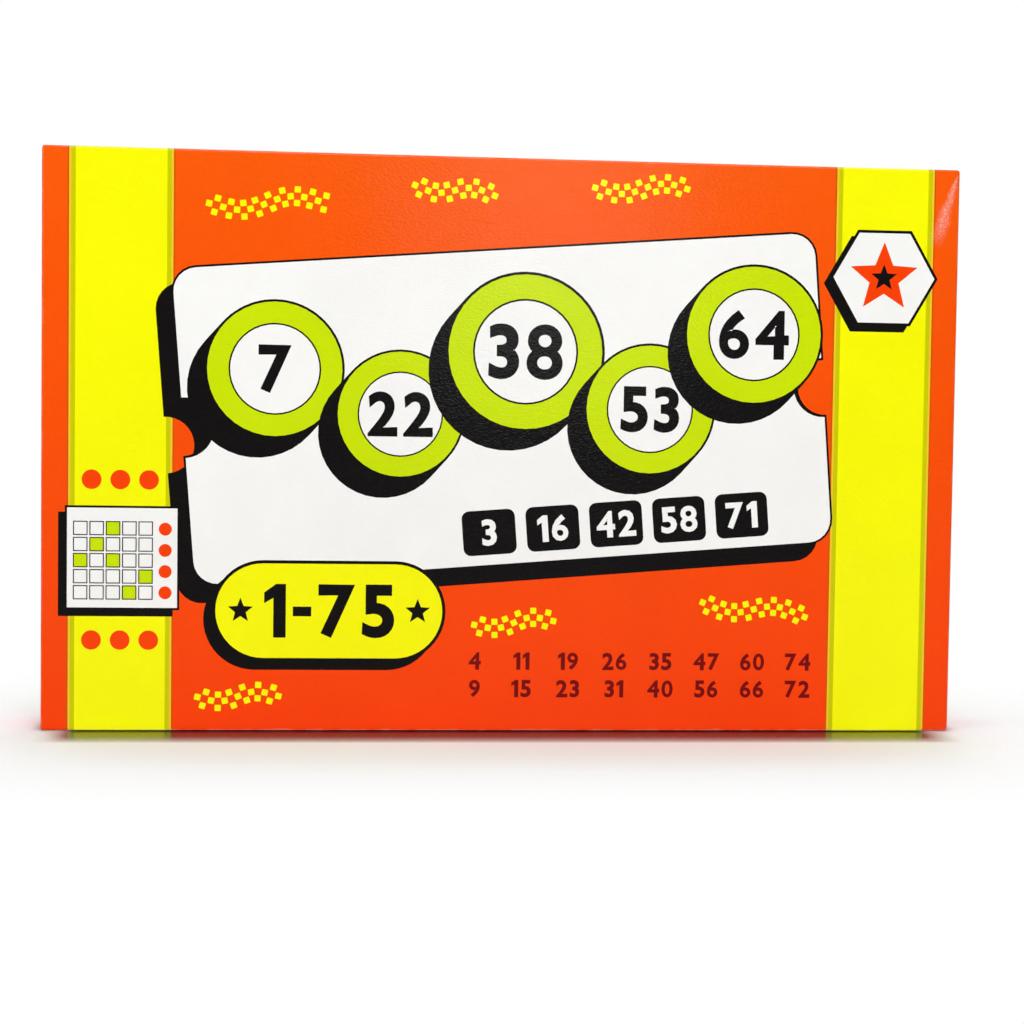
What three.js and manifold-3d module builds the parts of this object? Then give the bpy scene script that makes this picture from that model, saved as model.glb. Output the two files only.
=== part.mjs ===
// Bingo game in a two-piece rigid box that stands on one long edge, with its lid towards -Y.
// Millimetres. X runs along the box, Y through its depth, Z up from the surface it stands on.

import * as THREE from "three";
import { mergeVertices } from "three/addons/utils/BufferGeometryUtils.js";
import Module from "manifold-3d";

const wasm = await Module();
wasm.setup();

// Driving dimensions of the closed box
const boxLength = 428;
const boxHeight = 268;
const boxDepth = 45;
const edgeRadius = 1.4;

// Wall of a rigid box, from the outside in: paper, glue, greyboard, glue, turned-in paper
const paper = 0.3;
const glueLine = 0.3;
const greyboard = 1.8;
const turnIn = 14;
const insideCorner = 0.2;
const cornerSlit = 0.4;
const boardSeam = 0.3;
const seamTrim = 0.02;

// How the lid sits on the base, and the pieces on each other
const lidFit = 0.5;
const baseReveal = 3;
const seatGap = 0.3;

// Paper tape that stays each corner of the greyboard under the wrap
const stayTape = 0.2;
const stayLeg = 16;
const stayEndGap = 2;

// Tally board
const tallyBoard = 1.6;
const tallySheet = 0.3;
const tallyCorner = 3;
const tallyEndAir = 1.5;
const tallyTopAir = 2.7;
const lidToTally = 0.6;

// Bingo cards, in two stacks
const cardsPerStack = 15;
const cardThickness = 1.5;
const cardCorner = 5;
const cardAir = 0.1;
const cardSideAir = 1.75;
const cardTopAir = 4.7;

// Folded channel that keeps the two card stacks apart
const channelCard = 1.2;
const channelBend = 0.8;
const channelTopAir = 0.7;
const notchRadius = 15;

// Moulded tray with two troughs
const trayWall = 1.5;
const trayEndWall = 2;
const trayFit = 0.3;
const trayTopAir = 2;
const troughSpacing = 25.5;
const troughFit = 0.5;
const troughLead = 1.5;
const outerLand = 2.25;
const ribThickness = 2;
const pocketAir = 3;

// Numbered calling chips and covering markers, both in rolls
const chipsPerRoll = 15;
const chipRadius = 11;
const chipTaper = 0.35;
const markerRadius = 10;
const markerThickness = 2;
const markerTaper = 0.3;
const rollGap = 0.3;

// How finely round forms are stepped, and how far a cutting shape overruns
const cornerSteps = 3;
const edgeSteps = 2;
const bendSteps = 2;
const cardCornerSteps = 2;
const troughSteps = 7;
const notchSides = 24;
const chipSides = 12;
const markerSides = 10;
const overrun = 1;

// Sizes that follow from those above
const skin = paper + glueLine;
const wallBuild = 2 * skin + greyboard;
const faceBuild = skin + greyboard;
const boardRadius = edgeRadius - skin;
const lidDepth = boxDepth - baseReveal;
const baseLength = boxLength - 2 * (wallBuild + lidFit);
const baseHeight = boxHeight - 2 * (wallBuild + lidFit);
const baseDepth = boxDepth - faceBuild - seatGap;
const frontY = -boxDepth / 2;
const backY = boxDepth / 2;
const middleZ = boxHeight / 2;
const insideHalfLength = baseLength / 2 - wallBuild;
const contentLowZ = middleZ - baseHeight / 2 + wallBuild + seatGap;
const contentRoom = baseHeight - 2 * wallBuild - seatGap;
const floorY = backY - faceBuild;

const material = (color, roughness, metalness = 0) =>
  new THREE.MeshStandardMaterial({ color, roughness, metalness });
const finishes = {
  printedPaper: material(0xff4d05, 0.3),
  basePaper: material(0xf6f400, 0.35),
  greyboard: material(0xa79b87, 0.9),
  stayTape: material(0xc8a878, 0.85),
  whiteCard: material(0xf3f1ea, 0.6),
  tallyPaper: material(0xfdfdf8, 0.45),
  trayPlastic: material(0x1c1c1e, 0.4),
  chip: material(0xf7f4e6, 0.35),
};
const markerColours = [0xd81e26, 0xf2b90c, 0x1f9d4d, 0x1d5fc4, 0x8a3ab0];

// Shapes, solids and meshes

function solidOf(geometry) {
  const bare = geometry.index ? geometry.toNonIndexed() : geometry.clone();
  bare.deleteAttribute("normal");
  bare.deleteAttribute("uv");
  const merged = mergeVertices(bare);
  return new wasm.Manifold(
    new wasm.Mesh({
      numProp: 3,
      vertProperties: merged.attributes.position.array,
      triVerts: new Uint32Array(merged.index.array),
    }),
  );
}

function geometryOf(solid) {
  const { vertProperties, triVerts } = solid.getMesh();
  const geometry = new THREE.BufferGeometry();
  geometry.setAttribute("position", new THREE.BufferAttribute(vertProperties, 3));
  geometry.setIndex(new THREE.BufferAttribute(triVerts, 1));
  geometry.computeVertexNormals();
  return geometry;
}

function part(name, geometry, finish) {
  const mesh = new THREE.Mesh(geometry, finish);
  mesh.name = name;
  return mesh;
}

function roundedRectangle(width, height, radius) {
  const x = width / 2 - radius;
  const y = height / 2 - radius;
  const shape = new THREE.Shape();
  shape.absarc(x, y, radius, 0, Math.PI / 2);
  shape.absarc(-x, y, radius, Math.PI / 2, Math.PI);
  shape.absarc(-x, -y, radius, Math.PI, 1.5 * Math.PI);
  shape.absarc(x, -y, radius, 1.5 * Math.PI, 2 * Math.PI);
  return shape;
}

function extrudeUp(shape, length, steps) {
  return new THREE.ExtrudeGeometry(shape, {
    depth: length,
    bevelEnabled: false,
    curveSegments: steps,
  });
}

// A flat sheet in the XZ plane, from its front face at y = 0 to its back face.
function sheet(shape, thickness, steps) {
  return extrudeUp(shape, thickness, steps).rotateX(Math.PI / 2).translate(0, thickness, 0);
}

// Points of an arc as [inset, depth] pairs.
function arc(inset, depth, radius, from, to) {
  return Array.from({ length: edgeSteps + 1 }, (_, i) => {
    const angle = from + ((to - from) * i) / edgeSteps;
    return [inset + radius * Math.cos(angle), depth + radius * Math.sin(angle)];
  });
}

// One ring of a pan: a rounded rectangle, drawn in by inset, at a depth along +Y.
function panRing(length, height, radius, [inset, depth]) {
  const corner = Math.max(radius - inset, insideCorner);
  const x = length / 2 - inset - corner;
  const z = height / 2 - inset - corner;
  const ring = [];
  for (const [i, sx, sz] of [[0, 1, 1], [1, -1, 1], [2, -1, -1], [3, 1, -1]]) {
    for (let step = 0; step <= cornerSteps; step += 1) {
      const angle = ((i + step / cornerSteps) * Math.PI) / 2;
      ring.push([sx * x + corner * Math.cos(angle), depth, sz * z + corner * Math.sin(angle)]);
    }
  }
  return ring;
}

// A pan whose section is swept round the box's outline, from its outer face to its inner face.
function pan(length, height, radius, section) {
  const rings = section.map((point) => panRing(length, height, radius, point));
  const count = rings[0].length;
  const triangles = [];
  const cap = (ring, flip) => {
    for (let i = 1; i < count - 1; i += 1) {
      triangles.push(ring[0], ring[flip ? i + 1 : i], ring[flip ? i : i + 1]);
    }
  };
  cap(rings[0], false);
  for (let r = 1; r < rings.length; r += 1) {
    for (let i = 0; i < count; i += 1) {
      const next = (i + 1) % count;
      triangles.push(rings[r - 1][i], rings[r][i], rings[r][next]);
      triangles.push(rings[r - 1][i], rings[r][next], rings[r - 1][next]);
    }
  }
  cap(rings[rings.length - 1], true);
  const geometry = new THREE.BufferGeometry();
  geometry.setAttribute("position", new THREE.Float32BufferAttribute(triangles.flat(), 3));
  geometry.computeVertexNormals();
  return geometry;
}

// The rigid box's two pans, each with its face at y = 0 and its mouth towards +Y

function boardPan(length, height, depth) {
  const rim = depth - 2 * skin;
  const section = [
    ...arc(boardRadius, boardRadius, boardRadius, 1.5 * Math.PI, Math.PI),
    ...arc(boardRadius, rim - boardRadius, boardRadius, Math.PI, Math.PI / 2),
    ...arc(greyboard - boardRadius, rim - boardRadius, boardRadius, Math.PI / 2, 0),
    [greyboard, greyboard],
  ];
  const shell = pan(length - 2 * skin, height - 2 * skin, boardRadius, section);
  return solidOf(shell.translate(0, skin, 0));
}

// Folded from one scored blank: a knife slit parts each end wall from the long walls beside it.
function foldedBoard(length, height, depth) {
  const insideX = length / 2 - faceBuild;
  const insideZ = height / 2 - faceBuild;
  let board = boardPan(length, height, depth);
  for (const side of [-1, 1]) {
    for (const end of [-1, 1]) {
      const slit = new THREE.BoxGeometry(greyboard + 2 * overrun, depth, cornerSlit).translate(
        end * (insideX + greyboard / 2),
        faceBuild + (depth - cornerSlit) / 2,
        side * insideZ,
      );
      board = board.subtract(solidOf(slit));
    }
  }
  return geometryOf(board);
}

// Built up from five panels: each is what one block keeps of the pan, with glued seams between.
function boardPanels(length, height, depth) {
  const pieces = {};
  const board = boardPan(length, height, depth);
  const insideX = length / 2 - faceBuild;
  const insideZ = height / 2 - faceBuild;
  const keep = (name, width, thickness, tall, x, y, z) => {
    const block = new THREE.BoxGeometry(width, thickness, tall).translate(x, y, z);
    pieces[name] = geometryOf(board.intersect(solidOf(block)));
  };
  const wallY = faceBuild - seamTrim + boardSeam + depth / 2;
  const wall = 2 * greyboard;
  const endTall = 2 * (insideZ + seamTrim - boardSeam);
  keep("bottom_board", length, 2 * (faceBuild - seamTrim), height, 0, 0, 0);
  for (const [number, side] of [[1, -1], [2, 1]]) {
    const longZ = side * (insideZ + seamTrim + wall / 2);
    const endX = side * (insideX + seamTrim + wall / 2);
    keep(`long_board_${number}`, length, depth, wall, 0, wallY, longZ);
    keep(`end_board_${number}`, wall, depth, endTall, endX, wallY, 0);
  }
  return pieces;
}

function wrapPan(length, height, depth) {
  const inner = edgeRadius - paper;
  const section = [
    ...arc(edgeRadius, edgeRadius, edgeRadius, 1.5 * Math.PI, Math.PI),
    ...arc(edgeRadius, depth - edgeRadius, edgeRadius, Math.PI, Math.PI / 2),
    ...arc(wallBuild - edgeRadius, depth - edgeRadius, edgeRadius, Math.PI / 2, 0),
    [wallBuild, depth - turnIn],
    [wallBuild - paper, depth - turnIn],
    ...arc(wallBuild - edgeRadius, depth - edgeRadius, inner, 0, Math.PI / 2),
    ...arc(edgeRadius, depth - edgeRadius, inner, Math.PI / 2, Math.PI),
    ...arc(edgeRadius, edgeRadius, inner, Math.PI, 1.5 * Math.PI),
  ];
  return pan(length, height, edgeRadius, section);
}

// Tape folded round one corner of the greyboard: an L section along the wall's depth.
function cornerStay(depth) {
  const air = (glueLine - stayTape) / 2;
  const outer = edgeRadius - paper - air;
  const inner = outer - stayTape;
  const shape = new THREE.Shape();
  shape.moveTo(-stayLeg, outer);
  shape.lineTo(0, outer);
  shape.absarc(0, 0, outer, Math.PI / 2, 0, true);
  shape.lineTo(outer, -stayLeg);
  shape.lineTo(inner, -stayLeg);
  shape.absarc(0, 0, inner, 0, Math.PI / 2);
  shape.lineTo(-stayLeg, inner);
  const length = depth - skin - 2 * stayEndGap;
  return sheet(shape, length, cornerSteps).translate(0, skin + stayEndGap, 0);
}

function rigidPan(name, length, height, depth, boards, wrapFinish) {
  const group = new THREE.Group();
  for (const [board, geometry] of Object.entries(boards)) {
    group.add(part(`${name}_${board}`, geometry, finishes.greyboard));
  }
  group.add(part(`${name}_wrap`, wrapPan(length, height, depth), wrapFinish));
  for (let quarter = 0; quarter < 4; quarter += 1) {
    const stay = part(`${name}_corner_stay_${quarter + 1}`, cornerStay(depth), finishes.stayTape);
    const right = quarter === 0 || quarter === 3 ? 1 : -1;
    const up = quarter < 2 ? 1 : -1;
    stay.position.set(
      right * (length / 2 - edgeRadius),
      0,
      up * (height / 2 - edgeRadius),
    );
    stay.rotation.y = (-quarter * Math.PI) / 2;
    group.add(stay);
  }
  return group;
}

function lid() {
  const size = [boxLength, boxHeight, lidDepth];
  const group = rigidPan("lid", ...size, { board: foldedBoard(...size) }, finishes.printedPaper);
  group.position.set(0, frontY, middleZ);
  return group;
}

function base() {
  const size = [baseLength, baseHeight, baseDepth];
  const group = rigidPan("base", ...size, boardPanels(...size), finishes.basePaper);
  group.position.set(0, backY, middleZ);
  group.rotation.z = Math.PI;
  return group;
}

// Tally board: greyboard with a printed sheet mounted on its front
const tallyLength = 2 * (insideHalfLength - tallyEndAir);
const tallyHeight = contentRoom - tallyTopAir;
const tallyFrontY = frontY + faceBuild + lidToTally;
const tallyBackY = tallyFrontY + tallySheet + tallyBoard;

function tally() {
  const group = new THREE.Group();
  const outline = roundedRectangle(tallyLength, tallyHeight, tallyCorner);
  const printed = sheet(outline, tallySheet, cardCornerSteps);
  const core = sheet(outline, tallyBoard, cardCornerSteps).translate(0, tallySheet, 0);
  group.add(part("tally_board_sheet", printed, finishes.tallyPaper));
  group.add(part("tally_board", core, finishes.greyboard));
  group.position.set(0, tallyFrontY, contentLowZ + tallyHeight / 2);
  return group;
}

// Channel folded from one piece of card, with a thumb notch in each of its two walls
const troughRadius = chipRadius + troughFit;
const trayWidth = troughSpacing + 2 * (troughRadius + outerLand);
const channelInside = trayWidth / 2 + trayFit;
const channelOutside = channelInside + channelCard;
const channelFrontY = tallyBackY + seatGap;
const channelBackY = floorY - seatGap;
const channelFloorY = channelBackY - channelCard;
const channelHeight = contentRoom - channelTopAir;

function channelSection() {
  const bend = channelBend + channelCard;
  const section = new THREE.Shape();
  section.moveTo(-channelOutside, channelFrontY);
  section.lineTo(-channelInside, channelFrontY);
  const innerX = channelInside - channelBend;
  const innerY = channelFloorY - channelBend;
  section.absarc(-innerX, innerY, channelBend, Math.PI, Math.PI / 2, true);
  section.absarc(innerX, innerY, channelBend, Math.PI / 2, 0, true);
  section.lineTo(channelInside, channelFrontY);
  section.lineTo(channelOutside, channelFrontY);
  section.absarc(channelOutside - bend, channelBackY - bend, bend, 0, Math.PI / 2);
  section.absarc(bend - channelOutside, channelBackY - bend, bend, Math.PI / 2, Math.PI);
  return section;
}

function channel() {
  const across = 2 * (channelOutside + overrun);
  const notch = new THREE.CylinderGeometry(notchRadius, notchRadius, across, notchSides)
    .rotateZ(Math.PI / 2)
    .translate(0, channelFrontY, channelHeight / 2);
  const folded = solidOf(extrudeUp(channelSection(), channelHeight, bendSteps));
  const geometry = geometryOf(folded.subtract(solidOf(notch)));
  const made = part("divider_channel", geometry, finishes.whiteCard);
  made.position.z = contentLowZ;
  return made;
}

// Moulded tray: a deck with a skirt, a row of pockets on the left and one long trough on the right
const troughX = troughSpacing / 2;
const troughCentreY = channelFrontY + seatGap + chipRadius;
const deckY = troughCentreY - troughLead;
const trayBackY = channelFloorY - seatGap;
const trayLength = channelHeight - trayTopAir;
const troughLength = trayLength - 2 * trayEndWall;
const pocketCount = 5;
const pocketLength = (troughLength - (pocketCount - 1) * ribThickness) / pocketCount;
const pocketPitch = pocketLength + ribThickness;
const chipThickness = (pocketLength - pocketAir) / chipsPerRoll;

function blockUp(halfWidth, nearY, farY, length, lowZ) {
  const shape = new THREE.Shape();
  shape.moveTo(-halfWidth, nearY);
  shape.lineTo(halfWidth, nearY);
  shape.lineTo(halfWidth, farY);
  shape.lineTo(-halfWidth, farY);
  return solidOf(extrudeUp(shape, length, 1).translate(0, 0, lowZ));
}

// U-shaped prism along a trough, from a front plane round to its half-round bottom.
function troughUp(x, radius, nearY, length, lowZ) {
  const shape = new THREE.Shape();
  shape.moveTo(x + radius, nearY);
  shape.lineTo(x + radius, troughCentreY);
  shape.absarc(x, troughCentreY, radius, 0, Math.PI);
  shape.lineTo(x - radius, nearY);
  return solidOf(extrudeUp(shape, length, troughSteps).translate(0, 0, lowZ));
}

function tray() {
  const half = trayWidth / 2;
  const nearY = deckY - overrun;
  const shellRadius = troughRadius + trayWall;
  const deckBackY = deckY + trayWall;
  const farY = trayBackY + overrun;
  let under = blockUp(half - trayWall, deckBackY, farY, troughLength, trayEndWall);
  for (const x of [-troughX, troughX]) {
    under = under.subtract(troughUp(x, shellRadius, deckY, trayLength, 0));
  }
  let solid = blockUp(half, deckY, trayBackY, trayLength, 0).subtract(under);
  solid = solid.subtract(troughUp(troughX, troughRadius, nearY, troughLength, trayEndWall));
  for (let i = 0; i < pocketCount; i += 1) {
    const lowZ = trayEndWall + i * pocketPitch;
    solid = solid.subtract(troughUp(-troughX, troughRadius, nearY, pocketLength, lowZ));
  }
  const made = part("chip_tray", geometryOf(solid), finishes.trayPlastic);
  made.position.z = contentLowZ;
  return made;
}

// A roll of discs that lie on each other along Z, each a little tapered as moulded discs are.
function roll(count, radius, thickness, taper, sides) {
  const profile = [new THREE.Vector2(0, 0)];
  for (let i = 0; i < count; i += 1) {
    profile.push(new THREE.Vector2(radius, i * thickness));
    profile.push(new THREE.Vector2(radius - taper, (i + 1) * thickness));
  }
  profile.push(new THREE.Vector2(0, count * thickness));
  return new THREE.LatheGeometry(profile, sides).rotateX(Math.PI / 2);
}

function callingChips() {
  const group = new THREE.Group();
  [..."bingo"].forEach((letter, i) => {
    const made = part(
      `calling_chips_${letter}`,
      roll(chipsPerRoll, chipRadius, chipThickness, chipTaper, chipSides),
      finishes.chip,
    );
    const pocket = pocketCount - 1 - i;
    made.position.set(
      -troughX,
      troughCentreY,
      contentLowZ + trayEndWall + pocket * pocketPitch + seatGap,
    );
    group.add(made);
  });
  return group;
}

function markers() {
  const group = new THREE.Group();
  const length = chipsPerRoll * markerThickness;
  markerColours.forEach((colour, i) => {
    const made = part(
      `covering_markers_${i + 1}`,
      roll(chipsPerRoll, markerRadius, markerThickness, markerTaper, markerSides),
      material(colour, 0.15),
    );
    made.position.set(
      troughX,
      troughCentreY + troughRadius - markerRadius - seatGap,
      contentLowZ + trayEndWall + seatGap + i * (length + rollGap),
    );
    group.add(made);
  });
  return group;
}

// Thirty cards, half of them on each side of the channel
function cards() {
  const group = new THREE.Group();
  const stackX = (channelOutside + insideHalfLength) / 2;
  const cardWidth = insideHalfLength - channelOutside - 2 * cardSideAir;
  const cardHeight = contentRoom - cardTopAir;
  const outline = roundedRectangle(cardWidth, cardHeight, cardCorner);
  const pitch = cardThickness + cardAir;
  for (let i = 0; i < 2 * cardsPerStack; i += 1) {
    const inStack = i % cardsPerStack;
    const number = String(i + 1).padStart(2, "0");
    const card = part(
      `bingo_card_${number}`,
      sheet(outline, cardThickness, cardCornerSteps),
      finishes.whiteCard,
    );
    card.position.set(
      i < cardsPerStack ? -stackX : stackX,
      floorY - seatGap - cardThickness - inStack * pitch,
      contentLowZ + cardHeight / 2,
    );
    group.add(card);
  }
  return group;
}

const bingoGame = new THREE.Group();
bingoGame.add(base(), lid(), tally(), channel(), tray(), callingChips(), markers(), cards());

export default bingoGame;
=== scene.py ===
"""Looks of a boxed bingo game: box, tally board, cards, channel, tray, chips and markers."""

import math
import random
from collections import defaultdict

import bmesh
import bpy
import numpy as np
from mathutils import Matrix, Vector
from mathutils.geometry import delaunay_2d_cdt


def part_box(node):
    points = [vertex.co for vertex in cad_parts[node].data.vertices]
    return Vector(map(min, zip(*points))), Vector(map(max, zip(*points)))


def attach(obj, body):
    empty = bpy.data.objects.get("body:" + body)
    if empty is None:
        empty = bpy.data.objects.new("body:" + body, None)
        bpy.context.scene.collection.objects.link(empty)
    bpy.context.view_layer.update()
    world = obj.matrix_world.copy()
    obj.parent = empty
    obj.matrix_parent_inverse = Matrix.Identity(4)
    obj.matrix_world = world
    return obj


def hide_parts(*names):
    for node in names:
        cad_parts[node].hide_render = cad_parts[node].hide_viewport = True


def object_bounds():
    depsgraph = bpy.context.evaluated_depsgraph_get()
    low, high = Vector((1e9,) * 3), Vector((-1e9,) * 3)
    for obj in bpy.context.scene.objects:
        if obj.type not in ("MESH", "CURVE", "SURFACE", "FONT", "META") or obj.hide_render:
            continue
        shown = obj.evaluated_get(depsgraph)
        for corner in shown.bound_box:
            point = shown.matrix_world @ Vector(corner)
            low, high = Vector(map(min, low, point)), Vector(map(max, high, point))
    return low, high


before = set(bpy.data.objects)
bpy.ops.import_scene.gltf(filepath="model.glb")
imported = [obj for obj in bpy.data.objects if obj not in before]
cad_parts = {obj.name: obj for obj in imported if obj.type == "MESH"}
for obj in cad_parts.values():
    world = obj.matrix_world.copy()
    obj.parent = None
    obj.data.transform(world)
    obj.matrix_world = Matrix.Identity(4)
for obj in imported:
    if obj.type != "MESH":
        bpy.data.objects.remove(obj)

bl_info = {
    "name": "Boxed bingo game",
    "version": (1, 0, 0),
    "blender": (4, 5, 0),
    "location": "View3D > Sidebar > Bingo",
    "description": "Prints, folds and moulds the pieces of a bingo game around its packed model",
    "category": "Object",
}

CAD_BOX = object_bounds()
MM = 0.001
QUARTER = math.pi / 2
AHEAD = Vector((0, -1, 0))
WHITE = (1, 1, 1, 1)
CARDS = 30
GRID = 5
HEAD_NUMBERS = 15


# Properties

def colour(red, green, blue):
    """A colour as Blender keeps it, from its values on a screen, 0 to 255."""
    parts = [part / 255 for part in (red, green, blue)]
    return tuple(p / 12.92 if p <= 0.04045 else ((p + 0.055) / 1.055) ** 2.4 for p in parts)


def colour_setting(name, description, screen):
    return bpy.props.FloatVectorProperty(
        name=name, description=description, default=colour(*screen),
        subtype="COLOR", size=3, min=0, max=1)


def number_setting(name, description, default, **kind):
    return bpy.props.FloatProperty(
        name=name, description=description, default=default, min=0, **kind)


def length_setting(name, description, millimetres):
    return number_setting(
        name, description, millimetres * MM, subtype="DISTANCE", unit="LENGTH", precision=5)


def count_setting(name, description, default):
    return bpy.props.IntProperty(
        name=name, description=description, default=default, min=1, max=30)


class BingoInks(bpy.types.PropertyGroup):
    """Inks of the printed papers."""

    orange: colour_setting("Orange", "Ground of the lid and dots", (253, 66, 2))
    orange_top: colour_setting("Light orange", "Ground of the lid at its top", (252, 92, 5))
    yellow: colour_setting("Yellow", "Stripes, ribbons, pill and base", (252, 252, 3))
    olive: colour_setting("Olive", "Border bands of the stripes", (205, 206, 0))
    amber: colour_setting("Amber", "Line outside each olive band", (250, 200, 44))
    brown: colour_setting("Brown", "Thin line outside each stripe", (206, 92, 2))
    lime: colour_setting("Lime", "Balls on the lid", (205, 231, 4))
    black: colour_setting("Black", "Shadows, outlines and figures", (18, 16, 16))
    white: colour_setting("White", "Banner and panels", (250, 250, 248))
    dark_red: colour_setting("Dark red", "Figures on the orange ground", (120, 10, 12))
    blue: colour_setting("Blue", "Fifth head of cards and tally board", (28, 92, 196))
    green: colour_setting("Green", "Fourth head of cards and tally board", (24, 150, 70))


class BingoBox(bpy.types.PropertyGroup):
    """Sizes of the rigid box's wrap."""

    edge_radius: length_setting("Edge radius", "Rounding of every fold of the wrap", 1.4)
    wall_build: length_setting("Wall", "Thickness of a wall with its papers", 3)
    turn_in: length_setting("Turn-in", "Depth of the paper turned in over the rim", 14)
    paper: length_setting("Paper", "Thickness of the wrap's paper", 0.3)
    stripe_start: length_setting("Stripe start", "From the box's end to the stripe", 12.5)
    stripe_width: length_setting("Stripe width", "Across a stripe with its borders", 47)
    banner_length: length_setting("Banner length", "Length of the white banner", 300)
    banner_height: length_setting("Banner height", "Height of the white banner", 146)
    banner_tilt: bpy.props.FloatProperty(
        name="Banner tilt", description="Turn of the banner on the lid", default=math.radians(4.5),
        subtype="ANGLE", unit="ROTATION")


class BingoContents(bpy.types.PropertyGroup):
    """Sizes of what the box holds."""

    grid_line: length_setting("Grid line", "Width of the lines of cards and tally board", 0.9)
    card_figures: length_setting("Card figures", "Height of a card's figures", 17)
    card_liner: length_setting("Card liner", "White paper on each face of a card's grey core", 0.3)
    card_slip: length_setting("Card slip", "How far a card may lie to one side in its stack", 0.5)
    trough_radius: length_setting("Trough radius", "Radius of the tray's troughs", 11.5)
    trough_lead: length_setting("Trough lead", "Depth of the deck above the troughs' centres", 1.5)
    trough_spacing: length_setting("Trough spacing", "Between the centres of the troughs", 25.5)
    tray_wall: length_setting("Tray wall", "Thickness of the tray's plastic", 1.5)
    end_wall: length_setting("Tray end wall", "Thickness of the tray's end walls and ribs", 2)
    pockets: count_setting("Pockets", "Pockets for rolls of chips", 5)
    discs: count_setting("Discs in a roll", "Chips or markers in one roll", 15)
    jostle: length_setting("Jostle", "How far a disc may lie off its roll's line", 0.16)
    notch_radius: length_setting("Thumb notch", "Radius of the channel's thumb notches", 15)
    channel_card: length_setting("Channel card", "Thickness of the channel's card", 1.2)
    channel_bend: length_setting("Channel bend", "Inside radius of the channel's folds", 0.8)


class BingoStage(bpy.types.PropertyGroup):
    """Camera, lamps and floor."""

    camera_place: bpy.props.FloatVectorProperty(
        name="Camera place", description="Where the camera stands",
        default=(-0.04649, -0.71271, 0.12641), subtype="TRANSLATION", unit="LENGTH", size=3)
    camera_turn: bpy.props.FloatVectorProperty(
        name="Camera turn", description="The camera's rotation", subtype="EULER", unit="ROTATION",
        default=tuple(math.radians(a) for a in (88.0695, -0.7675, -4.042)), size=3)
    lens: number_setting("Lens", "The camera's focal length", 51.96, unit="CAMERA")
    key_power: number_setting("Main lamp", "Power of the soft lamp in front", 27, unit="POWER")
    fill_power: number_setting("Left lamp", "Power of the lamp at the left", 8, unit="POWER")
    right_share: number_setting(
        "Right lamp", "Power of the lamp at the right, as a share of the left one's", 0.12,
        subtype="FACTOR", max=1)
    back_power: number_setting("Back lamp", "Power of the lamp behind the box", 30, unit="POWER")
    glare_power: number_setting(
        "Glare lamp", "Power of the small lamp that the lid's film glints with", 1.4, unit="POWER")
    low_light: number_setting(
        "Low room light", "Strength of the room's light from below", 0.1, subtype="FACTOR", max=2)
    high_light: number_setting(
        "High room light", "Strength of the room's light from above", 0.45, subtype="FACTOR", max=2)
    floor_colour: colour_setting("Floor", "Colour of the floor", (245, 245, 245))
    # The floor's painted shadow and its dark mirror reach this far from the box
    contact_reach: length_setting(
        "Contact reach", "How far from the box the floor darkens and mirrors it", 30)


class BingoSettings(bpy.types.PropertyGroup):
    """All settings of the boxed bingo game."""

    inks: bpy.props.PointerProperty(type=BingoInks, name="Inks", description="Printing inks")
    box: bpy.props.PointerProperty(type=BingoBox, name="Box", description="Sizes of the box's wrap")
    contents: bpy.props.PointerProperty(
        type=BingoContents, name="Contents", description="Sizes of what the box holds")
    stage: bpy.props.PointerProperty(
        type=BingoStage, name="Stage", description="Camera, lamps and floor")


def mm(length):
    """A length setting in millimetres."""
    return length / MM


def extent(node):
    """Lowest and highest corner of a CAD node, in millimetres."""
    low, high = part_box(node)
    return low / MM, high / MM


def stand_for(piece, body, node):
    """The piece rides on the body in place of the CAD node."""
    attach(piece, body)
    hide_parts(node)


# Materials

def maths(operation, mirrored=False):
    """A method that joins a value and another value or a number in a Math node."""
    def method(self, other):
        terms = (other, self) if mirrored else (self, other)
        return self.nodes.node("Math", {"operation": operation}, dict(enumerate(terms)))
    return method


class Value:
    """A socket that gives a number, so that maths on it is written as plain expressions."""

    def __init__(self, nodes, socket):
        self.nodes, self.socket = nodes, socket

    def __abs__(self):
        return self.nodes.node("Math", {"operation": "ABSOLUTE"}, {0: self})

    __add__, __radd__ = maths("ADD"), maths("ADD", True)
    __sub__, __rsub__ = maths("SUBTRACT"), maths("SUBTRACT", True)
    __mul__, __rmul__ = maths("MULTIPLY"), maths("MULTIPLY", True)
    __truediv__, __rtruediv__ = maths("DIVIDE"), maths("DIVIDE", True)
    smaller, larger = maths("MINIMUM"), maths("MAXIMUM")


class Nodes:
    """The nodes of a material, a room or a geometry tree, all added by one method."""

    def __init__(self, tree):
        self.nodes, self.links = tree.nodes, tree.links
        self.nodes.clear()

    def node(self, kind, settings=None, inputs=None, output=0):
        """Adds a node, sets it, then gives its sockets their values or links.

        The kind of a shader node is given without its first word.
        """
        made = self.nodes.new(kind if "Node" in kind else "ShaderNode" + kind)
        for name, value in (settings or {}).items():
            setattr(made, name, value)
        for name, value in (inputs or {}).items():
            if isinstance(value, Value):
                self.links.new(value.socket, made.inputs[name])
            else:
                made.inputs[name].default_value = value
        return Value(self, made.outputs[output]) if made.outputs else None

    def step(self, value, low, high):
        """Rises smoothly from 0 at low to 1 at high."""
        return self.node("MapRange", {"interpolation_type": "SMOOTHSTEP"},
                         {"Value": value, "From Min": low, "From Max": high})


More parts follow.
